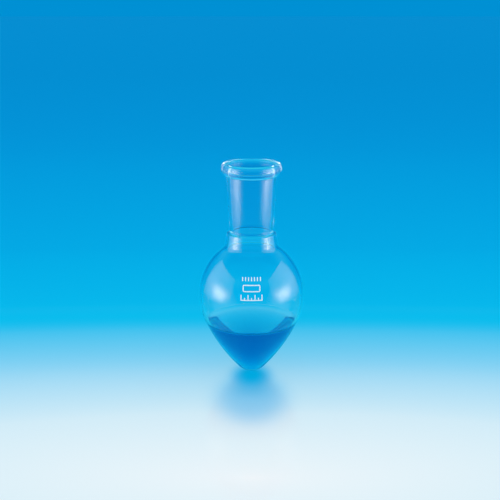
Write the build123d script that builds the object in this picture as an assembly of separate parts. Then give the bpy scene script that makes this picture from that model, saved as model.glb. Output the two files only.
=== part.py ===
from build123d import *
import os
from math import atan2, cos, degrees, radians, sin, sqrt

# A pear-shaped laboratory flask with one neck, which ends in a 29/42 standard-taper ground socket.
# The flask is one piece of borosilicate glass: a blown pear bulb, fused through a short collar to the
# socket, whose mouth carries a thick rounded bead. White enamel marks are fired onto the front of the
# bulb, and a blue solution stands in its foot, with a meniscus where it climbs the wall.
#
# Millimetres, +Z up along the flask's axis, origin at the centre of the mouth's flat face, front
# towards -Y. Heights are therefore negative. Sections are drawn in the XZ plane as (radius, height).

# ---- the ground socket -------------------------------------------------------------------------------
SOCKET_BORE_DIAMETER = 29.2  # at the large end of the ground cone
SOCKET_LENGTH = 42.0  # of the ground cone, along the axis
SOCKET_TAPER = 0.1  # diameter lost for each unit of length, 1 in 10
SOCKET_WALL = 1.6
MOUTH_FLARE_DEPTH = 1.2  # from the mouth's face down to the ground cone
MOUTH_FLARE_WIDTH = 0.6  # how far the flare opens beyond the cone
MOUTH_EDGE_RADIUS = 0.4  # of the fire-polished inner edge

# ---- the bead round the mouth ------------------------------------------------------------------------
BEAD_DIAMETER = 38.7  # at its widest
BEAD_WIDEST_DEPTH = 3.1  # from the mouth's face down to its widest ring
BEAD_ARC_RADIUS = 5.05  # of its barrelled outer face
BEAD_EDGE_RADIUS = 0.8  # between that face and the mouth's flat face
BEAD_FOOT_RADIUS = 0.5  # of the hollow where the bead runs into the neck

# ---- the collar between socket and bulb --------------------------------------------------------------
COLLAR_TOP_DIAMETER = 31.5
COLLAR_FOOT_DIAMETER = 34.2  # where its side would meet the bulb, if no shoulder rounded it
COLLAR_LENGTH = 9.6  # from the foot of the seal down to there
COLLAR_WALL = 1.6
SEAL_DROP = 0.75  # from the end of the ground cone down to the top of the seal, outside
SEAL_HEIGHT = 1.2  # of the sloping step from the neck out to the collar, outside
SEAL_BORE_HEIGHT = 2.0  # of the step from the ground cone's end out to the inside of the collar
SEAL_RADIUS = 0.9  # of the rounded seams where the socket is fused to the collar
CONE_EDGE_RADIUS = 0.4  # of the ground cone's lower edge
SHOULDER_RADIUS = 4.7  # of the hollow where the collar runs into the bulb

# ---- the pear bulb -----------------------------------------------------------------------------------
BULB_DIAMETER = 68.4
BULB_ARC_RADIUS = 38.4
BULB_DEPTH = 52.5  # from its widest ring down to the tip
FLANK_RADIUS = 114.4
TIP_RADIUS = 12.7
BULB_WALL = 1.5
TIP_WALL = 2.3

# ---- the solution ------------------------------------------------------------------------------------
FILL_HEIGHT = 34.2  # of its flat face above the outside of the tip
MENISCUS_RISE = 1.9
MENISCUS_SLOPE = 50.0  # degrees from level, where it meets the glass
SOLUTION_CLEARANCE = 0.02  # between the solution's solid and the glass

# ---- the enamel marks --------------------------------------------------------------------------------
ENAMEL_THICKNESS = 0.12
ENAMEL_CLEARANCE = 0.02  # between the enamel's solids and the glass
ENAMEL_STROKE = 0.6
MARKS_RISE = 13.7  # of the writing field's centre above the widest ring
FIELD_LENGTH = 11.0
FIELD_HEIGHT = 4.2
FIELD_CORNER_RADIUS = 0.9
BAR_COUNT = 7  # in the row of short bars above the field
BAR_HEIGHT = 2.2
BAR_ROW_LENGTH = 11.6
BAR_ROW_GAP = 2.1  # clear glass between the field and the bars
TICK_COUNT = 7  # of the scale under the field
TICK_HEIGHT = 3.6  # with the scale's base line
SCALE_LENGTH = 13.6
SCALE_GAP = 1.7  # clear glass between the field and the scale

# ---- heights and places that follow from the sizes above ----------------------------------------------
CONE_TOP = -MOUTH_FLARE_DEPTH
CONE_FOOT = CONE_TOP - SOCKET_LENGTH
SEAL_TOP = CONE_FOOT - SEAL_DROP
COLLAR_TOP = SEAL_TOP - SEAL_HEIGHT
COLLAR_FOOT = COLLAR_TOP - COLLAR_LENGTH
BULB_CENTRE_RADIUS = BULB_DIAMETER / 2 - BULB_ARC_RADIUS
EQUATOR = COLLAR_FOOT - sqrt(BULB_ARC_RADIUS**2 - (COLLAR_FOOT_DIAMETER / 2 - BULB_CENTRE_RADIUS) ** 2)
TIP = EQUATOR - BULB_DEPTH
BULB_CENTRE = Vector(BULB_CENTRE_RADIUS, EQUATOR)
BEAD_CENTRE = Vector(BEAD_DIAMETER / 2 - BEAD_ARC_RADIUS, -BEAD_WIDEST_DEPTH)


def bore_radius(height):
    """Radius of the ground cone, carried on past its ends, at a height."""
    return (SOCKET_BORE_DIAMETER + SOCKET_TAPER * (height - CONE_TOP)) / 2


def neck_point(height):
    """The outside of the neck at a height."""
    return Vector(bore_radius(height) + SOCKET_WALL, height)


def meeting_point(first, first_reach, second, second_reach):
    """The point first_reach from first and second_reach from second, left of the way between them."""
    apart = second - first
    along = (first_reach**2 - second_reach**2 + apart.length**2) / (2 * apart.length)
    aside = sqrt(first_reach**2 - along**2)
    ahead = apart.normalized()
    return first + ahead * along + Vector(-ahead.Y, ahead.X) * aside


def arc_about(centre, radius, start, end):
    """An arc about centre, anticlockwise from the direction of start to the direction of end."""
    first = degrees(atan2(start.Y - centre.Y, start.X - centre.X))
    last = degrees(atan2(end.Y - centre.Y, end.X - centre.X))
    return CenterArc(centre, radius, first, last - first)


def bulb_point(radius, inset):
    """The point of the bulb's upper arc at a radius, an inset inside the outer face."""
    across = radius - BULB_CENTRE.X
    return Vector(radius, BULB_CENTRE.Y + sqrt((BULB_ARC_RADIUS - inset) ** 2 - across**2))


def pear_arcs(inset, tip_inset, top_radius):
    """The pear's three tangent arcs, an inset inside its outer face, from its tip up to top_radius."""
    tip_centre = Vector(0, TIP + tip_inset - inset + TIP_RADIUS)
    flank_centre = meeting_point(
        tip_centre, FLANK_RADIUS - TIP_RADIUS, BULB_CENTRE, FLANK_RADIUS - BULB_ARC_RADIUS
    )
    flank_foot = tip_centre * 2 - flank_centre
    flank_top = BULB_CENTRE * 2 - flank_centre
    return [
        arc_about(tip_centre, TIP_RADIUS - inset, tip_centre - Vector(0, 1), flank_foot),
        arc_about(flank_centre, FLANK_RADIUS - inset, flank_foot, flank_top),
        arc_about(BULB_CENTRE, BULB_ARC_RADIUS - inset, flank_top, bulb_point(top_radius, inset)),
    ]


def half_section(outline):
    """The flat face between the axis and an outline that climbs from the axis's foot to its top."""
    foot = outline[0] @ 0
    top = outline[-1] @ 1
    return make_face([*outline, Polyline(top, (0, top.Y), foot)])


def rounded(face, corners):
    """A flat face with some of its corners rounded, each given as a point near it and a radius."""
    for point, radius in corners:
        face = fillet(face.vertices().sort_by_distance(point)[0], radius)
    return face


def turned(face):
    """The solid that a half section sweeps round the axis."""
    return revolve(Plane.XZ * face, Axis.Z)


def bead_section():
    """The bead's own section: a disc cut off level with the mouth's face."""
    below_mouth = Pos(0, -BEAD_DIAMETER) * Rectangle(2 * BEAD_DIAMETER, 2 * BEAD_DIAMETER)
    return Pos(BEAD_CENTRE) * Circle(BEAD_ARC_RADIUS) & below_mouth


def outer_section():
    """Half section of all that the flask's outer face encloses."""
    collar_foot = bulb_point(COLLAR_FOOT_DIAMETER / 2, 0)
    collar_top = Vector(COLLAR_TOP_DIAMETER / 2, COLLAR_TOP)
    neck_foot = neck_point(SEAL_TOP)
    side = Polyline(collar_foot, collar_top, neck_foot, neck_point(0))
    bead = bead_section()
    corners = [
        (collar_foot, SHOULDER_RADIUS),
        (collar_top, SEAL_RADIUS),
        (neck_foot, SEAL_RADIUS),
        (neck_point(BEAD_CENTRE.Y - BEAD_ARC_RADIUS), BEAD_FOOT_RADIUS),
        (bead.vertices().sort_by(Axis.X)[-1], BEAD_EDGE_RADIUS),
    ]
    return rounded(half_section([*pear_arcs(0, 0, collar_foot.X), side]) + bead, corners)


def cavity_section():
    """Half section of the space inside the flask, up to the mouth's face."""
    collar_foot = bulb_point(COLLAR_FOOT_DIAMETER / 2 - COLLAR_WALL, BULB_WALL)
    collar_top = Vector(COLLAR_TOP_DIAMETER / 2 - COLLAR_WALL, CONE_FOOT - SEAL_BORE_HEIGHT)
    cone_foot = Vector(bore_radius(CONE_FOOT), CONE_FOOT)
    cone_top = Vector(bore_radius(CONE_TOP), CONE_TOP)
    mouth = Vector(bore_radius(CONE_TOP) + MOUTH_FLARE_WIDTH, 0)
    side = Polyline(collar_foot, collar_top, cone_foot, cone_top, mouth)
    corners = [
        (collar_foot, SHOULDER_RADIUS + BULB_WALL),
        (collar_top, SEAL_RADIUS),
        (cone_foot, CONE_EDGE_RADIUS),
    ]
    return rounded(half_section([*pear_arcs(BULB_WALL, TIP_WALL, collar_foot.X), side]), corners)


def glass_section():
    """Half section of the glass, with the mouth's inner edge fire-polished."""
    mouth = Vector(bore_radius(CONE_TOP) + MOUTH_FLARE_WIDTH, 0)
    return rounded(outer_section() - cavity_section(), [(mouth, MOUTH_EDGE_RADIUS)])


def reach_at(outline, height):
    """How far an outline made of climbing arcs lies from the axis at a height."""
    arc = next(edge for edge in outline if (edge @ 1).Y >= height)
    return arc.arc_center.X + sqrt(arc.radius**2 - (height - arc.arc_center.Y) ** 2)


def solution_section():
    """Half section of the solution: the foot of the cavity under a flat face with a meniscus round it."""
    inset = BULB_WALL + SOLUTION_CLEARANCE
    wall = pear_arcs(inset, TIP_WALL + SOLUTION_CLEARANCE, COLLAR_FOOT_DIAMETER / 2 - COLLAR_WALL)
    surface = TIP + FILL_HEIGHT
    wetted = surface + MENISCUS_RISE
    slope = radians(MENISCUS_SLOPE)
    arc_radius = MENISCUS_RISE / (1 - cos(slope))
    contact = Vector(reach_at(wall, wetted), wetted)
    start = Vector(contact.X - arc_radius * sin(slope), surface)
    meniscus = CenterArc(start + Vector(0, arc_radius), arc_radius, -90, MENISCUS_SLOPE)
    surface_line = Line((0, surface), start)
    above = Polyline(contact, (BULB_DIAMETER, wetted), (BULB_DIAMETER, 0), (0, 0), (0, surface))
    return half_section(wall) - make_face([surface_line, meniscus, above])


def spread(count, length):
    """Places of a row's copies, evenly spaced over a length that reaches their middles."""
    return [length * (index / (count - 1) - 0.5) for index in range(count)]


def bar_row():
    """The row of short upright bars above the writing field."""
    height = FIELD_HEIGHT / 2 + BAR_ROW_GAP + BAR_HEIGHT / 2
    places = spread(BAR_COUNT, BAR_ROW_LENGTH - ENAMEL_STROKE)
    return [Pos(place, height) * Rectangle(ENAMEL_STROKE, BAR_HEIGHT) for place in places]


def writing_field():
    """The outlined field for a written label."""
    frame = RectangleRounded(FIELD_LENGTH, FIELD_HEIGHT, FIELD_CORNER_RADIUS)
    return frame - offset(frame, -ENAMEL_STROKE)


def scale():
    """The scale under the field: ticks on a base line, every other one short."""
    foot = -FIELD_HEIGHT / 2 - SCALE_GAP - TICK_HEIGHT
    base = Pos(0, foot + ENAMEL_STROKE / 2) * Rectangle(SCALE_LENGTH, ENAMEL_STROKE)
    ticks = [
        Pos(place, foot + height / 2) * Rectangle(ENAMEL_STROKE, height)
        for place, height in zip(
            spread(TICK_COUNT, SCALE_LENGTH - ENAMEL_STROKE),
            [TICK_HEIGHT, TICK_HEIGHT / 2] * TICK_COUNT,
        )
    ]
    return base + ticks


def enamel_marks():
    """The marks as a thin skin that follows the front of the bulb."""
    under = -ENAMEL_CLEARANCE
    over = under - ENAMEL_THICKNESS
    skin = turned(half_section(pear_arcs(over, over, COLLAR_FOOT_DIAMETER / 2)))
    skin -= turned(half_section(pear_arcs(under, under, COLLAR_FOOT_DIAMETER / 2)))
    marks = [*bar_row(), writing_field(), scale()]
    place = Plane.XZ * Pos(0, EQUATOR + MARKS_RISE)
    return Compound([skin & extrude(place * mark, BULB_DIAMETER) for mark in marks])


os.makedirs("parts", exist_ok=True)
export_step(turned(glass_section()), "parts/flask.step")
export_step(turned(solution_section()), "parts/solution.step")
export_step(enamel_marks(), "parts/enamel_marks.step")
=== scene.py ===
import math

import bpy
import numpy as np
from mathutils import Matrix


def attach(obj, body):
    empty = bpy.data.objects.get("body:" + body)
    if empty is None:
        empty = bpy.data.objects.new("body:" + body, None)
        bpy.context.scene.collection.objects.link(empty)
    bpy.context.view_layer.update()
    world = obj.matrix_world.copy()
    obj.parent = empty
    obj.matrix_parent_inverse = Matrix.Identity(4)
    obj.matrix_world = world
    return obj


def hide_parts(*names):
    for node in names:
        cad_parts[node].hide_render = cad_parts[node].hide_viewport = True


# A pear-shaped flask with a 29/42 ground socket, part filled with a blue solution, over a pale floor.
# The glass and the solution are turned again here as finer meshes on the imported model's own outlines, so
# that they refract and reflect without facets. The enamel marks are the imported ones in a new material.
# Outlines are in millimetres, as (radius, height). Meshes, lamps and the camera are in metres.

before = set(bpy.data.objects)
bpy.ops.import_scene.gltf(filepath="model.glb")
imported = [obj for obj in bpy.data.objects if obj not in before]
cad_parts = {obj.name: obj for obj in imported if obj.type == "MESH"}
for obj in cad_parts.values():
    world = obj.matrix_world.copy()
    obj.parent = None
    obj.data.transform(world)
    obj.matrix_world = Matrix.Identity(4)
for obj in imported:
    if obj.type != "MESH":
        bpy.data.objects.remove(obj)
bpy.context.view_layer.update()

MM = 0.001  # metres

# ---- the ground socket -------------------------------------------------------------------------------
SOCKET_BORE_DIAMETER = 29.2  # at the wide end of the ground cone
SOCKET_LENGTH = 42.0  # of the ground cone, along the axis
SOCKET_TAPER = 0.1  # of the diameter, for each unit of length
SOCKET_WALL = 1.6
GROUND_MARGIN = 0.5  # of clear glass at each end of the ground cone
MOUTH_FLARE_DEPTH = 1.2
MOUTH_FLARE_WIDTH = 0.6
MOUTH_EDGE_RADIUS = 0.4

# ---- the bead round the mouth ------------------------------------------------------------------------
BEAD_DIAMETER = 38.7
BEAD_WIDEST_DEPTH = 3.1
BEAD_ARC_RADIUS = 5.05
BEAD_ARC_START = 5.0  # degrees outwards from its lowest point
BEAD_EDGE_RADIUS = 0.8
BEAD_FOOT_RADIUS = 0.5

# ---- the fused seal and the collar -------------------------------------------------------------------
COLLAR_TOP_DIAMETER = 31.5
COLLAR_FOOT_DIAMETER = 34.2
COLLAR_LENGTH = 9.6
COLLAR_WALL = 1.6
SEAL_DROP = 0.75  # from the foot of the ground cone down to the seal's slope outside
SEAL_HEIGHT = 1.2  # of that slope
SEAL_BORE_HEIGHT = 2.0  # of the slope inside
SEAL_RADIUS = 0.9
CONE_EDGE_RADIUS = 0.4
SHOULDER_RADIUS = 4.7

# ---- the pear bulb -----------------------------------------------------------------------------------
BULB_DIAMETER = 68.4
BULB_ARC_RADIUS = 38.4
BULB_DEPTH = 52.5  # from its widest ring down to the tip
FLANK_RADIUS = 114.4
TIP_RADIUS = 12.7
BULB_WALL = 1.5
TIP_WALL = 2.3

# ---- the solution ------------------------------------------------------------------------------------
FILL_HEIGHT = 34.2  # of its flat face, above the outside of the tip
MENISCUS_RISE = 1.9
MENISCUS_SLOPE = 50.0  # degrees from level, where it meets the glass
WETTED_OVERLAP = 0.3  # how far the solution reaches into the glass, so that no film of air shows
OPEN_FACE = "open_face"  # the mesh attribute that marks the part of its face no glass covers
OPEN_FACE_TILT = 0.3  # such a face's normal points up by more than this

# ---- how finely things are turned --------------------------------------------------------------------
SAMPLE = 0.04  # spacing of an outline's working points
TURN_STEPS = 192  # round the axis
LONGEST_STEP = 1.2  # along the outline
SHARPEST_TURN = 4.0  # degrees from one facet of the outline to the next

# ---- heights and places that follow ------------------------------------------------------------------
CONE_TOP = -MOUTH_FLARE_DEPTH
CONE_FOOT = CONE_TOP - SOCKET_LENGTH
SEAL_TOP = CONE_FOOT - SEAL_DROP
COLLAR_TOP = SEAL_TOP - SEAL_HEIGHT
BULB_CENTRE_RADIUS = BULB_DIAMETER / 2 - BULB_ARC_RADIUS
COLLAR_REACH = COLLAR_FOOT_DIAMETER / 2 - BULB_CENTRE_RADIUS
EQUATOR = COLLAR_TOP - COLLAR_LENGTH - math.sqrt(BULB_ARC_RADIUS**2 - COLLAR_REACH**2)
TIP = EQUATOR - BULB_DEPTH
SOLUTION_EDGE = TIP + FILL_HEIGHT + MENISCUS_RISE  # where it meets the glass
BULB_CENTRE = np.array([BULB_CENTRE_RADIUS, EQUATOR])
BEAD_CENTRE = np.array([BEAD_DIAMETER / 2 - BEAD_ARC_RADIUS, -BEAD_WIDEST_DEPTH])
FACE_MIDDLE = (SOCKET_BORE_DIAMETER / 2 + SOCKET_WALL, 0)  # where both outlines end, on the mouth's face
FLOOR_HEIGHT = TIP * MM  # in metres, the sheet touches the tip


# ==== outlines ========================================================================================


def line(start, end):
    """Working points along a straight run of outline."""
    start, end = np.array(start, float), np.array(end, float)
    count = max(2, round(np.linalg.norm(end - start) / SAMPLE))
    return start + (end - start) * np.linspace(0, 1, count)[:, None]


def arc(centre, radius, start, end):
    """Working points of the shorter arc about centre, from the direction of start to that of end."""
    centre = np.array(centre, float)
    first = math.atan2(start[1] - centre[1], start[0] - centre[0])
    last = math.atan2(end[1] - centre[1], end[0] - centre[0])
    sweep = (last - first + math.pi) % (2 * math.pi) - math.pi
    count = max(6, round(abs(sweep) * radius / SAMPLE))
    angles = first + sweep * np.linspace(0, 1, count)
    return centre + radius * np.stack([np.cos(angles), np.sin(angles)], 1)


def shifted(curve, distance):
    """A curve moved sideways, to the left of the way it runs."""
    way = np.gradient(curve, axis=0)
    way /= np.linalg.norm(way, axis=1)[:, None]
    return curve + distance * np.stack([-way[:, 1], way[:, 0]], 1)


def crossing(first, second):
    """Where two curves of working points cross, and how far along each, counted in points."""
    apart = np.linalg.norm(first[:, None] - second[None], axis=2)
    i, j = np.unravel_index(apart.argmin(), apart.shape)
    i, j = min(max(i, 1), len(first) - 2), min(max(j, 1), len(second) - 2)
    a, b = first[i + 1] - first[i - 1], second[j + 1] - second[j - 1]
    along = np.linalg.solve(np.stack([a, -b], 1), second[j - 1] - first[i - 1])
    return first[i - 1] + along[0] * a, i - 1 + 2 * along[0], j - 1 + 2 * along[1]


def point_at(curve, index):
    """The point a fractional number of points along a curve."""
    low = int(math.floor(index))
    return curve[low] + (index - low) * (curve[low + 1] - curve[low])


def joined(first, second, radius, side):
    """Two curves that cross or meet, as one, with a rounded corner centred on one side (+1 is left)."""
    centre, i, j = crossing(shifted(first, side * radius), shifted(second, side * radius))
    start, end = point_at(first, i), point_at(second, j)
    head, tail = first[: int(i) + 1], second[int(j) + 1 :]
    return np.concatenate([head, arc(centre, radius, start, end), tail])


def thinned(curve):
    """The points that a mesh needs: closer together where the outline turns."""
    kept, length, turn = [0], 0.0, 0.0
    steps = np.diff(curve, axis=0)
    lengths = np.linalg.norm(steps, axis=1)
    for index in range(1, len(curve) - 1):
        length += lengths[index - 1]
        before, after = steps[index - 1], steps[index]
        cross = before[0] * after[1] - before[1] * after[0]
        turn += abs(math.degrees(math.atan2(cross, float(before @ after))))
        if length >= LONGEST_STEP or turn >= SHARPEST_TURN:
            kept.append(index)
            length, turn = 0.0, 0.0
    return curve[kept + [len(curve) - 1]]


def bore_radius(height):
    """The radius of the ground cone at a height."""
    return (SOCKET_BORE_DIAMETER + SOCKET_TAPER * (height - CONE_TOP)) / 2


def neck_point(height):
    """The point of the socket's outside at a height. It tapers with the bore."""
    return np.array([bore_radius(height) + SOCKET_WALL, height])


def meeting_point(first, first_reach, second, second_reach):
    """The point first_reach from first and second_reach from second, left of the way between them."""
    apart = second - first
    gap = np.linalg.norm(apart)
    along = (first_reach**2 - second_reach**2 + gap**2) / (2 * gap)
    aside = math.sqrt(first_reach**2 - along**2)
    ahead = apart / gap
    return first + ahead * along + np.array([-ahead[1], ahead[0]]) * aside


def pear_outline(inset, tip_inset, top_radius):
    """The pear from its tip up to top_radius, an inset inside its outer face."""
    tip_centre = np.array([0, TIP + tip_inset - inset + TIP_RADIUS])
    flank_centre = meeting_point(
        tip_centre, FLANK_RADIUS - TIP_RADIUS, BULB_CENTRE, FLANK_RADIUS - BULB_ARC_RADIUS
    )
    flank_foot = 2 * tip_centre - flank_centre
    flank_top = 2 * BULB_CENTRE - flank_centre
    across = top_radius - BULB_CENTRE[0]
    top = (top_radius, EQUATOR + math.sqrt((BULB_ARC_RADIUS - inset) ** 2 - across**2))
    tip_arc = arc(tip_centre, TIP_RADIUS - inset, tip_centre - (0, 1), flank_foot)
    flank_arc = arc(flank_centre, FLANK_RADIUS - inset, flank_foot, flank_top)
    bulb_arc = arc(BULB_CENTRE, BULB_ARC_RADIUS - inset, flank_top, top)
    return np.concatenate([tip_arc, flank_arc[1:], bulb_arc[1:]])


def outer_outline():
    """The flask's outer face, from its tip up to the middle of the mouth's flat face."""
    pear = pear_outline(0, 0, COLLAR_FOOT_DIAMETER / 2)
    collar_top = (COLLAR_TOP_DIAMETER / 2, COLLAR_TOP)
    collar = line(pear[-1], collar_top)
    seal = line(collar_top, neck_point(SEAL_TOP))
    neck = line(neck_point(SEAL_TOP), neck_point(BEAD_CENTRE[1]))
    outwards = math.sin(math.radians(BEAD_ARC_START))
    bead_low = BEAD_CENTRE + (BEAD_ARC_RADIUS * outwards, -BEAD_ARC_RADIUS)
    bead_top = (BEAD_CENTRE[0] + math.sqrt(BEAD_ARC_RADIUS**2 - BEAD_CENTRE[1] ** 2), 0)
    bead = arc(BEAD_CENTRE, BEAD_ARC_RADIUS, bead_low, bead_top)
    face = line(bead_top, FACE_MIDDLE)
    outline = joined(pear, collar, SHOULDER_RADIUS, -1)
    outline = joined(outline, seal, SEAL_RADIUS, 1)
    outline = joined(outline, neck, SEAL_RADIUS, -1)
    outline = joined(outline, bead, BEAD_FOOT_RADIUS, -1)
    return joined(outline, face, BEAD_EDGE_RADIUS, 1)


def inner_outline():
    """The cavity's face, from its foot up to the middle of the mouth's flat face."""
    pear = pear_outline(BULB_WALL, TIP_WALL, COLLAR_FOOT_DIAMETER / 2 - COLLAR_WALL)
    collar_top = (COLLAR_TOP_DIAMETER / 2 - COLLAR_WALL, CONE_FOOT - SEAL_BORE_HEIGHT)
    cone_foot = (bore_radius(CONE_FOOT), CONE_FOOT)
    cone_top = (bore_radius(CONE_TOP), CONE_TOP)
    mouth = (bore_radius(CONE_TOP) + MOUTH_FLARE_WIDTH, 0)
    outline = joined(pear, line(pear[-1], collar_top), SHOULDER_RADIUS + BULB_WALL, -1)
    outline = joined(outline, line(collar_top, cone_foot), SEAL_RADIUS, 1)
    outline = joined(outline, line(cone_foot, cone_top), CONE_EDGE_RADIUS, -1)
    outline = np.concatenate([outline, line(cone_top, mouth)[1:]])
    return joined(outline, line(mouth, FACE_MIDDLE), MOUTH_EDGE_RADIUS, -1)


def glass_rings():
    """The flask's section as rings, with one of them where the solution's edge meets the glass."""
    inside = inner_outline()
    edge = np.abs(inside[:, 1] - SOLUTION_EDGE).argmin()
    inside_rings = np.concatenate([thinned(inside[: edge + 1]), thinned(inside[edge:])[1:]])
    return np.concatenate([thinned(outer_outline()), inside_rings[-2::-1]])


def solution_outline():
    """The solution's face: up the wall to the contact line, then down the meniscus to the axis."""
    top_radius = COLLAR_FOOT_DIAMETER / 2 - COLLAR_WALL
    wall = pear_outline(BULB_WALL - WETTED_OVERLAP, TIP_WALL - WETTED_OVERLAP, top_radius)
    glass = pear_outline(BULB_WALL, TIP_WALL, top_radius)
    surface = TIP + FILL_HEIGHT
    contact = glass[np.abs(glass[:, 1] - SOLUTION_EDGE).argmin()]
    slope = math.radians(MENISCUS_SLOPE)
    radius = MENISCUS_RISE / (1 - math.cos(slope))
    centre = (contact[0] - radius * math.sin(slope), surface + radius)
    flat_edge = (centre[0], surface)
    inside_glass = wall[wall[:, 1] <= SOLUTION_EDGE + WETTED_OVERLAP / 2]
    rise = line(inside_glass[-1], contact)
    meniscus = arc(centre, radius, contact, flat_edge)
    flat = line(flat_edge, (0, surface))
    return np.concatenate([inside_glass, rise[1:], meniscus[1:], flat[1:]])


# ==== meshes ==========================================================================================


def mesh_object(name, points, faces, material):
    """A smooth mesh object of points in millimetres."""
    mesh = bpy.data.meshes.new(name)
    mesh.from_pydata([tuple(point) for point in np.array(points) * MM], [], faces)
    mesh.validate()
    mesh.shade_smooth()
    mesh.materials.append(material)
    piece = bpy.data.objects.new(name, mesh)
    bpy.context.scene.collection.objects.link(piece)
    return piece


def turned(name, outline, material):
    """A solid turned round the axis from an outline whose two ends lie on it."""
    rings = outline[1:-1]
    angles = np.linspace(0, 2 * math.pi, TURN_STEPS, endpoint=False)
    radii = np.repeat(rings[:, :1], TURN_STEPS, axis=1)
    x, y = radii * np.cos(angles), radii * np.sin(angles)
    z = np.repeat(rings[:, 1:], TURN_STEPS, axis=1)
    points = [*np.stack([x, y, z], -1).reshape(-1, 3), (0, 0, outline[0][1]), (0, 0, outline[-1][1])]
    foot, top = len(points) - 2, len(points) - 1
    faces = []
    for ring in range(len(rings) - 1):
        for step in range(TURN_STEPS):
            here, beside = ring * TURN_STEPS + step, ring * TURN_STEPS + (step + 1) % TURN_STEPS
            faces.append((here, beside, beside + TURN_STEPS, here + TURN_STEPS))
    last = (len(rings) - 1) * TURN_STEPS
    for step in range(TURN_STEPS):
        beside = (step + 1) % TURN_STEPS
        faces.append((foot, beside, step))
        faces.append((top, last + step, last + beside))
    return mesh_object(name, points, faces, material)


def mark_open_face(piece):
    """Note on the solution's mesh which of its faces no glass covers."""
    mark = piece.data.attributes.new(OPEN_FACE, "FLOAT", "FACE")
    for face in piece.data.polygons:
        mark.data[face.index].value = float(face.normal.z > OPEN_FACE_TILT)


# ==== shader nodes ====================================================================================


def plug(tree, socket, value):
    """Link another socket to a socket, or give it a fixed value."""
    if isinstance(value, bpy.types.NodeSocket):
        tree.links.new(value, socket)
    else:
        socket.default_value = value


def calculated(tree, operation, *values):
    """The output of a maths node over sockets and numbers."""
    node = tree.nodes.new("ShaderNodeMath")
    node.operation = operation
    for socket, value in zip(node.inputs, values):
        plug(tree, socket, value)
    return node.outputs[0]


def vector_maths(tree, operation, *values):
    """The outputs of a vector maths node over sockets and vectors."""
    node = tree.nodes.new("ShaderNodeVectorMath")
    node.operation = operation
    for socket, value in zip(node.inputs, values):
        plug(tree, socket, value)
    return node.outputs


def height_of(tree, place):
    """The third coordinate of a place."""
    parts = tree.nodes.new("ShaderNodeSeparateXYZ")
    tree.links.new(place, parts.inputs[0])
    return parts.outputs["Z"]


def mottle(tree, size, detail=2.0):
    """A soft random pattern of 0 to 1, its patches about size metres across."""
    place = tree.nodes.new("ShaderNodeTexCoord")
    noise = tree.nodes.new("ShaderNodeTexNoise")
    noise.inputs["Scale"].default_value = 1 / size
    noise.inputs["Detail"].default_value = detail
    tree.links.new(place.outputs["Object"], noise.inputs["Vector"])
    return noise.outputs[0]


def between(tree, share, low, high):
    """A number that runs from low to high with share."""
    return calculated(tree, "MULTIPLY_ADD", share, high - low, low)


def bell(tree, value, width):
    """1 where value is 0, and less and less away from there."""
    square = calculated(tree, "POWER", calculated(tree, "DIVIDE", value, width), 2.0)
    return calculated(tree, "EXPONENT", calculated(tree, "MULTIPLY", square, -1.0))


def blended(tree, share, low, high, way="MIX"):
    """A colour that runs with share from low to high, or to the two of them blended in another way."""
    mix = tree.nodes.new("ShaderNodeMix")
    mix.data_type = "RGBA"
    mix.blend_type = way
    plug(tree, mix.inputs["A"], low)
    plug(tree, mix.inputs["B"], high)
    tree.links.new(share, mix.inputs["Factor"])
    return mix.outputs["Result"]


def mixed(tree, share, first, second):
    """A shader that runs from first to second with share."""
    mix = tree.nodes.new("ShaderNodeMixShader")
    plug(tree, mix.inputs["Fac"], share)
    tree.links.new(first, mix.inputs[1])
    tree.links.new(second, mix.inputs[2])
    return mix.outputs[0]


def srgb(red, green, blue):
    """A colour of 0 to 255 as linear light."""
    channels = [value / 255 for value in (red, green, blue)]
    linear = [v / 12.92 if v <= 0.04045 else ((v + 0.055) / 1.055) ** 2.4 for v in channels]
    return (*linear, 1)


def ramp(tree, share, stops):
    """The colour at share on a ramp with the given places and colours."""
    node = tree.nodes.new("ShaderNodeValToRGB")
    node.color_ramp.interpolation = "CARDINAL"
    elements = node.color_ramp.elements
    while len(elements) < len(stops):
        elements.new(0.5)
    for element, (place, colour) in zip(elements, stops):
        element.position = place
        element.color = colour
    tree.links.new(share, node.inputs["Fac"])
    return node.outputs["Color"]


def uneven(tree, shader, height, depth):
    """Give a surface a relief of depth metres."""
    bump = tree.nodes.new("ShaderNodeBump")
    bump.inputs["Strength"].default_value = 1.0
    bump.inputs["Distance"].default_value = depth
    tree.links.new(height, bump.inputs["Height"])
    tree.links.new(bump.outputs["Normal"], shader.inputs["Normal"])


def seen_directly(tree):
    """1 for camera, mirror and through-glass rays, 0 for the rays that carry light about."""
    path = tree.nodes.new("ShaderNodeLightPath")
    total = path.outputs["Is Camera Ray"]
    for output in ("Is Glossy Ray", "Is Transmission Ray"):
        total = calculated(tree, "MAXIMUM", total, path.outputs[output])
    return total


def reflected(tree):
    """1 for what shows by way of a reflection, 0 for what shows without one."""
    path = tree.nodes.new("ShaderNodeLightPath")
    return calculated(tree, "GREATER_THAN", path.outputs["Glossy Depth"], 0.5)


# ==== materials =======================================================================================

GLASS_REFRACTION = 1.474
GLASS_TINTS = ((0.945, 0.980, 0.990, 1), (0.965, 0.990, 1.0, 1))
GLASS_TINT_SIZE = 0.03
GLASS_SHEEN = (0.55, 0.46, 0.36, 1)  # how much of a head-on reflection clear glass keeps
GLASS_WAVE_SIZE = 0.014
GLASS_WAVE_DEPTH = 0.00012

GROUND_TINTS = ((0.80, 0.86, 0.94, 1), (0.84, 0.88, 0.96, 1))
GROUND_TINT_SIZE = 0.004
GROUND_SHEEN = (0.20, 0.16, 0.12, 1)
GROUND_ROUGHNESS = (0.035, 0.055)
GROUND_GRAIN_SIZE = 0.0015

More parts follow.
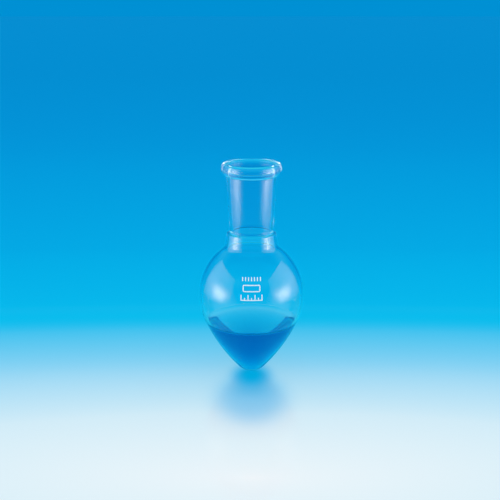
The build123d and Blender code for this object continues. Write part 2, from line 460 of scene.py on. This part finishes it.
SOLUTION_REFRACTION = 1.333
UNBENT = 1.0  # the refraction of a face that light passes straight through
SOLUTION_TINTS = ((0.98, 0.99, 1.0, 1), (1.0, 1.0, 1.0, 1))
SOLUTION_TINT_SIZE = 0.02
SOLUTION_COLOUR = (0.0, 0.900, 0.960, 1)
SOLUTION_DENSITY = 160.0

ENAMEL_TINTS = ((0.50, 0.62, 0.72, 1), (0.78, 0.84, 0.88, 1))
ENAMEL_ROUGHNESS = (0.6, 0.35)
ENAMEL_GRAIN_SIZE = 0.0009
ENAMEL_GRAIN_DETAIL = 4.0
ENAMEL_GRAIN_DEPTH = 0.00002


def new_material(name):
    """A material with its node tree and the Principled shader in it."""
    material = bpy.data.materials.new(name)
    material.use_nodes = True
    return material, material.node_tree, material.node_tree.nodes["Principled BSDF"]


def glass_material(name, refraction):
    """Clear blown borosilicate glass, very slightly wavy, with its refraction against what touches it."""
    material, tree, shader = new_material(name)
    tint = blended(tree, mottle(tree, GLASS_TINT_SIZE), *GLASS_TINTS)
    tree.links.new(tint, shader.inputs["Base Color"])
    uneven(tree, shader, mottle(tree, GLASS_WAVE_SIZE, 0.0), GLASS_WAVE_DEPTH)
    shader.inputs["Roughness"].default_value = 0.0
    shader.inputs["IOR"].default_value = refraction
    shader.inputs["Specular Tint"].default_value = GLASS_SHEEN
    shader.inputs["Transmission Weight"].default_value = 1.0
    return material


def ground_material():
    """The same glass where it is finely ground, inside the socket."""
    material, tree, shader = new_material("ground_glass")
    tint = blended(tree, mottle(tree, GROUND_TINT_SIZE), *GROUND_TINTS)
    roughness = between(tree, mottle(tree, GROUND_GRAIN_SIZE), *GROUND_ROUGHNESS)
    tree.links.new(tint, shader.inputs["Base Color"])
    tree.links.new(roughness, shader.inputs["Roughness"])
    shader.inputs["IOR"].default_value = GLASS_REFRACTION
    shader.inputs["Specular Tint"].default_value = GROUND_SHEEN
    shader.inputs["Transmission Weight"].default_value = 1.0
    return material


def solution_material():
    """A clear blue solution, which darkens with the depth of liquid that light crosses.

    Only its open face bends light. Where it wets the glass, the glass does.
    """
    material, tree, shader = new_material("blue_solution")
    tint = blended(tree, mottle(tree, SOLUTION_TINT_SIZE), *SOLUTION_TINTS)
    tree.links.new(tint, shader.inputs["Base Color"])
    shader.inputs["Roughness"].default_value = 0.0
    open_face = tree.nodes.new("ShaderNodeAttribute")
    open_face.attribute_name = OPEN_FACE
    refraction = between(tree, open_face.outputs["Fac"], UNBENT, SOLUTION_REFRACTION)
    tree.links.new(refraction, shader.inputs["IOR"])
    shader.inputs["Transmission Weight"].default_value = 1.0
    absorption = tree.nodes.new("ShaderNodeVolumeAbsorption")
    absorption.inputs["Color"].default_value = SOLUTION_COLOUR
    absorption.inputs["Density"].default_value = SOLUTION_DENSITY
    tree.links.new(absorption.outputs["Volume"], tree.nodes["Material Output"].inputs["Volume"])
    return material


def enamel_material():
    """Fired white enamel, a little thin and rough in places."""
    material, tree, shader = new_material("white_enamel")
    patches = mottle(tree, ENAMEL_GRAIN_SIZE, ENAMEL_GRAIN_DETAIL)
    tree.links.new(blended(tree, patches, *ENAMEL_TINTS), shader.inputs["Base Color"])
    tree.links.new(between(tree, patches, *ENAMEL_ROUGHNESS), shader.inputs["Roughness"])
    uneven(tree, shader, patches, ENAMEL_GRAIN_DEPTH)
    return material


def dress_glass(piece):
    """Give the ground face and the wetted face of the flask their own materials."""
    piece.data.materials.append(ground_material())
    piece.data.materials.append(glass_material("wetted_glass", GLASS_REFRACTION / SOLUTION_REFRACTION))
    for face in piece.data.polygons:
        radius, height = math.hypot(face.center.x, face.center.y) / MM, face.center.z / MM
        on_bore = radius < bore_radius(height) + SOCKET_WALL / 2
        if on_bore and CONE_FOOT + GROUND_MARGIN < height < CONE_TOP - GROUND_MARGIN:
            face.material_index = 1
        elif height < SOLUTION_EDGE and face.normal.z > 0:
            face.material_index = 2


# ==== the stage =======================================================================================

FLOOR_RADIUS = 8.0
POOL_FRONT = 0.15  # the pale pool's middle lies this far in front of the flask
POOL_STRETCH = 3.0  # how much wider than deep the pool is
RAMP_POWER = 0.5  # distances are spread out on the ramp by this power
# how blue the sheet is, by its distance from the pool's middle in metres
SHEET_COLOURS = [
    (0.0, (255, 255, 255)),
    (0.08, (224, 244, 252)),
    (0.15, (160, 221, 248)),
    (0.23, (66, 198, 242)),
    (0.29, (0, 187, 238)),
    (0.46, (0, 172, 231)),
    (1.06, (0, 153, 220)),
    (2.4, (0, 144, 212)),
]
SHEET_OWN_LIGHT = 0.85  # share of the sheet's colour that doesn't wait for the lamps
SHEET_MIRRORED = (0.05, 1.0, 1.0, 1)  # how much of its colour reflections keep
SHEET_GLOSS = 0.12
SHEET_ROUGHNESS = 0.13
# painted blue light and shadow, put into the sheet's colour in place of what the solution throws on the
# sheet: where it falls, how far it spreads, how sharply it ends and how strong it is
PAINTED_CAST_COLOUR = (0, 184, 240)
PAINTED_CAST_LIGHT = [
    {"middle": (0.0, -0.009), "spread": (0.013, 0.020), "edge": 4.0, "strength": 1.0},
    {"middle": (0.0, -0.028), "spread": (0.014, 0.018), "edge": 2.5, "strength": 0.5},
    {"middle": (0.0, -0.048), "spread": (0.0225, 0.037), "edge": 4.0, "strength": 0.56},
]
WORLD_LIGHT = (0.86, 0.93, 1.0, 1)
# the studio's surround, by degrees above level
SKY_COLOURS = [
    (0.0, (0, 144, 212)),
    (9.0, (0, 152, 219)),
    (17.0, (0, 179, 237)),
    (26.0, (75, 205, 245)),
    (33.0, (75, 205, 245)),
    (44.0, (20, 180, 235)),
    (56.0, (0, 130, 198)),
    (80.0, (0, 105, 175)),
]


def distance_from(tree, middle, spread):
    """How far a point of the sheet lies from middle, where spread counts as 1."""
    place = tree.nodes.new("ShaderNodeTexCoord").outputs["Object"]
    apart = vector_maths(tree, "SUBTRACT", place, (*middle, 0))["Vector"]
    squeezed = vector_maths(tree, "DIVIDE", apart, (*spread, 1))["Vector"]
    return vector_maths(tree, "LENGTH", squeezed)["Value"]


def pool_colour(tree):
    """The sheet's own colour, by the distance from the pale pool's middle."""
    furthest = SHEET_COLOURS[-1][0]
    distance = distance_from(tree, (0, -POOL_FRONT), (POOL_STRETCH, 1))
    share = calculated(tree, "POWER", calculated(tree, "DIVIDE", distance, furthest), RAMP_POWER)
    stops = [((place / furthest) ** RAMP_POWER, srgb(*colour)) for place, colour in SHEET_COLOURS]
    return ramp(tree, share, stops)


def painted_cast_light(tree, middle, spread, edge, strength):
    """A painted patch of blue light and shadow on the sheet, strongest in its middle."""
    power = calculated(tree, "POWER", distance_from(tree, middle, spread), edge)
    faded = calculated(tree, "EXPONENT", calculated(tree, "MULTIPLY", power, -1.0))
    return calculated(tree, "MULTIPLY", faded, strength)


def sheet_material():
    """A glossy sheet, pale in front and blue further back, with the solution's light and shadow painted on
    it under the tip.
    """
    material, tree, shader = new_material("studio_sheet")
    tree.nodes.remove(shader)
    paint = pool_colour(tree)
    # paint the solution's blue light and shadow into the sheet's colour, patch by patch
    for patch in PAINTED_CAST_LIGHT:
        paint = blended(tree, painted_cast_light(tree, **patch), paint, srgb(*PAINTED_CAST_COLOUR))
    paint = blended(tree, reflected(tree), paint, SHEET_MIRRORED, "MULTIPLY")
    glow = tree.nodes.new("ShaderNodeEmission")
    matt = tree.nodes.new("ShaderNodeBsdfDiffuse")
    tree.links.new(paint, glow.inputs["Color"])
    tree.links.new(paint, matt.inputs["Color"])
    own_light = calculated(tree, "MULTIPLY", seen_directly(tree), SHEET_OWN_LIGHT)
    body = mixed(tree, own_light, matt.outputs[0], glow.outputs[0])
    mirror = tree.nodes.new("ShaderNodeBsdfGlossy")
    mirror.inputs["Roughness"].default_value = SHEET_ROUGHNESS
    coated = mixed(tree, SHEET_GLOSS, body, mirror.outputs[0])
    tree.links.new(coated, tree.nodes["Material Output"].inputs["Surface"])
    return material


def make_sheet():
    """The sheet under the flask's tip."""
    corners = [(-1, -1), (1, -1), (1, 1), (-1, 1)]
    mesh = bpy.data.meshes.new("floor")
    mesh.from_pydata([(x * FLOOR_RADIUS, y * FLOOR_RADIUS, 0) for x, y in corners], [], [(0, 1, 2, 3)])
    mesh.materials.append(sheet_material())
    floor = bpy.data.objects.new("floor", mesh)
    floor.location.z = FLOOR_HEIGHT
    bpy.context.scene.collection.objects.link(floor)


def make_world():
    """A blue surround with a pale band for what looks at it, and plain pale light for what it lights."""
    world = bpy.data.worlds.new("studio")
    bpy.context.scene.world = world
    world.use_nodes = True
    tree = world.node_tree
    light = tree.nodes["Background"]
    light.inputs["Color"].default_value = WORLD_LIGHT
    light.inputs["Strength"].default_value = 1.0
    seen = tree.nodes.new("ShaderNodeBackground")
    way = tree.nodes.new("ShaderNodeTexCoord").outputs["Generated"]
    stops = [(math.sin(math.radians(up)), srgb(*colour)) for up, colour in SKY_COLOURS]
    tree.links.new(ramp(tree, height_of(tree, way), stops), seen.inputs["Color"])
    both = mixed(tree, seen_directly(tree), light.outputs[0], seen.outputs[0])
    tree.links.new(both, tree.nodes["World Output"].inputs["Surface"])


# ==== the lamps =======================================================================================

BOX_DISTANCE = 0.30  # from the flask's axis
BOX_WIDTH = 0.50
BOX_HEIGHT = 0.32
BOX_AZIMUTH = 83.0  # degrees round from the camera's side
BOX_COLOUR = (1.0, 0.86, 0.66)
BOX_POWER = 0.82
BOX_FALL = 0.24  # metres from its middle line to where it is clearly fainter
BOX_FOOT_DEPTH = 0.10  # how high its fainter foot reaches
BOX_FOOT_SHARE = 0.28  # how bright it is at its very foot
HOT_SPOT_HEIGHT = -0.062  # from the level of the mouth
HOT_SPOT_WIDTH = 0.085
HOT_SPOT_DEPTH = 0.05
HOT_SPOT_ASIDE = 0.05  # from the box's middle line, towards the camera
HOT_SPOT_GAIN = 5.0
WALL_CROSSINGS = 2  # surfaces that light passes to cross one wall of the flask


def box_strength(tree, turn):
    """How bright a box is from place to place: fainter at its foot and ends, with a hot spot low down."""
    place = tree.nodes.new("ShaderNodeNewGeometry").outputs["Position"]
    height = height_of(tree, place)
    offset = vector_maths(tree, "DOT_PRODUCT", place, (math.cos(turn), math.sin(turn), 0))["Value"]
    above_foot = calculated(tree, "SUBTRACT", height, FLOOR_HEIGHT)
    growth = (1 - BOX_FOOT_SHARE) / BOX_FOOT_DEPTH
    foot = calculated(tree, "MULTIPLY_ADD", above_foot, growth, BOX_FOOT_SHARE)
    foot = calculated(tree, "MINIMUM", foot, 1.0)
    even = calculated(tree, "MULTIPLY", bell(tree, offset, BOX_FALL), foot)
    from_spot = calculated(tree, "ADD", offset, math.copysign(HOT_SPOT_ASIDE, turn))
    above_spot = calculated(tree, "SUBTRACT", height, HOT_SPOT_HEIGHT)
    across, upright = bell(tree, from_spot, HOT_SPOT_WIDTH), bell(tree, above_spot, HOT_SPOT_DEPTH)
    hot = calculated(tree, "MULTIPLY", across, upright)
    return calculated(tree, "MULTIPLY_ADD", hot, HOT_SPOT_GAIN, even)


def box_shown(tree):
    """1 where a box shows: in reflections and rims, not straight through the flask or the solution."""
    path = tree.nodes.new("ShaderNodeLightPath")
    most = calculated(tree, "MULTIPLY_ADD", reflected(tree), WALL_CROSSINGS, WALL_CROSSINGS + 0.5)
    return calculated(tree, "LESS_THAN", path.outputs["Transmission Depth"], most)


def soft_box(name, azimuth):
    """An upright rectangular lamp beside the flask, brightest low down."""
    lamp = bpy.data.lights.new(name, "AREA")
    lamp.shape = "RECTANGLE"
    lamp.size, lamp.size_y = BOX_WIDTH, BOX_HEIGHT
    lamp.energy = BOX_POWER
    lamp.color = BOX_COLOUR
    piece = bpy.data.objects.new(name, lamp)
    turn = math.radians(azimuth)
    aside, behind = BOX_DISTANCE * math.sin(turn), -BOX_DISTANCE * math.cos(turn)
    piece.location = (aside, behind, FLOOR_HEIGHT + BOX_HEIGHT / 2)
    piece.rotation_euler = (math.radians(90), 0, turn)
    piece.visible_camera = False
    lamp.use_nodes = True
    tree = lamp.node_tree
    strength = calculated(tree, "MULTIPLY", box_strength(tree, turn), box_shown(tree))
    tree.links.new(strength, tree.nodes["Emission"].inputs["Strength"])
    bpy.context.scene.collection.objects.link(piece)
    return piece


def make_lamps(lit_pieces):
    """Two soft boxes that light the flask alone, and not the sheet."""
    lit = bpy.data.collections.new("lit_by_boxes")
    for piece in lit_pieces:
        lit.objects.link(piece)
    for name, side in (("left_box", -1), ("right_box", 1)):
        soft_box(name, side * BOX_AZIMUTH).light_linking.receiver_collection = lit


# ==== the camera ======================================================================================

CAMERA_DISTANCE = 0.61164  # from the flask's axis
CAMERA_HEIGHT = 0.10794  # above the mouth
CAMERA_SIDESTEP = -0.00095
CAMERA_PITCH = 15.07  # degrees below level
CAMERA_LENS = 70.48
SENSOR_WIDTH = 36.0
MOST_BOUNCES = 1000  # light can run a long way inside the wall


def make_camera():
    """The camera that the photo was taken with, as it was worked out."""
    data = bpy.data.cameras.new("camera")
    data.lens = CAMERA_LENS
    data.sensor_width = SENSOR_WIDTH
    camera = bpy.data.objects.new("camera", data)
    camera.location = (CAMERA_SIDESTEP, -CAMERA_DISTANCE, CAMERA_HEIGHT)
    camera.rotation_euler = (math.radians(90 - CAMERA_PITCH), 0, 0)
    bpy.context.scene.collection.objects.link(camera)
    bpy.context.scene.camera = camera


# ==== making it =======================================================================================

make_camera()
make_world()
make_sheet()

flask = turned("flask_glass", glass_rings(), glass_material("borosilicate_glass", GLASS_REFRACTION))
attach(flask, "root")
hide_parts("flask")
dress_glass(flask)

solution = turned("blue_solution", thinned(solution_outline()), solution_material())
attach(solution, "root")
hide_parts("solution")
mark_open_face(solution)

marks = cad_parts["enamel_marks"]
marks.data.materials.clear()
marks.data.materials.append(enamel_material())
make_lamps([flask, solution, marks])

scene = bpy.context.scene
scene.view_settings.view_transform = "Standard"
scene.cycles.max_bounces = MOST_BOUNCES
scene.cycles.transmission_bounces = MOST_BOUNCES
scene.cycles.glossy_bounces = MOST_BOUNCES
scene.cycles.use_denoising = True
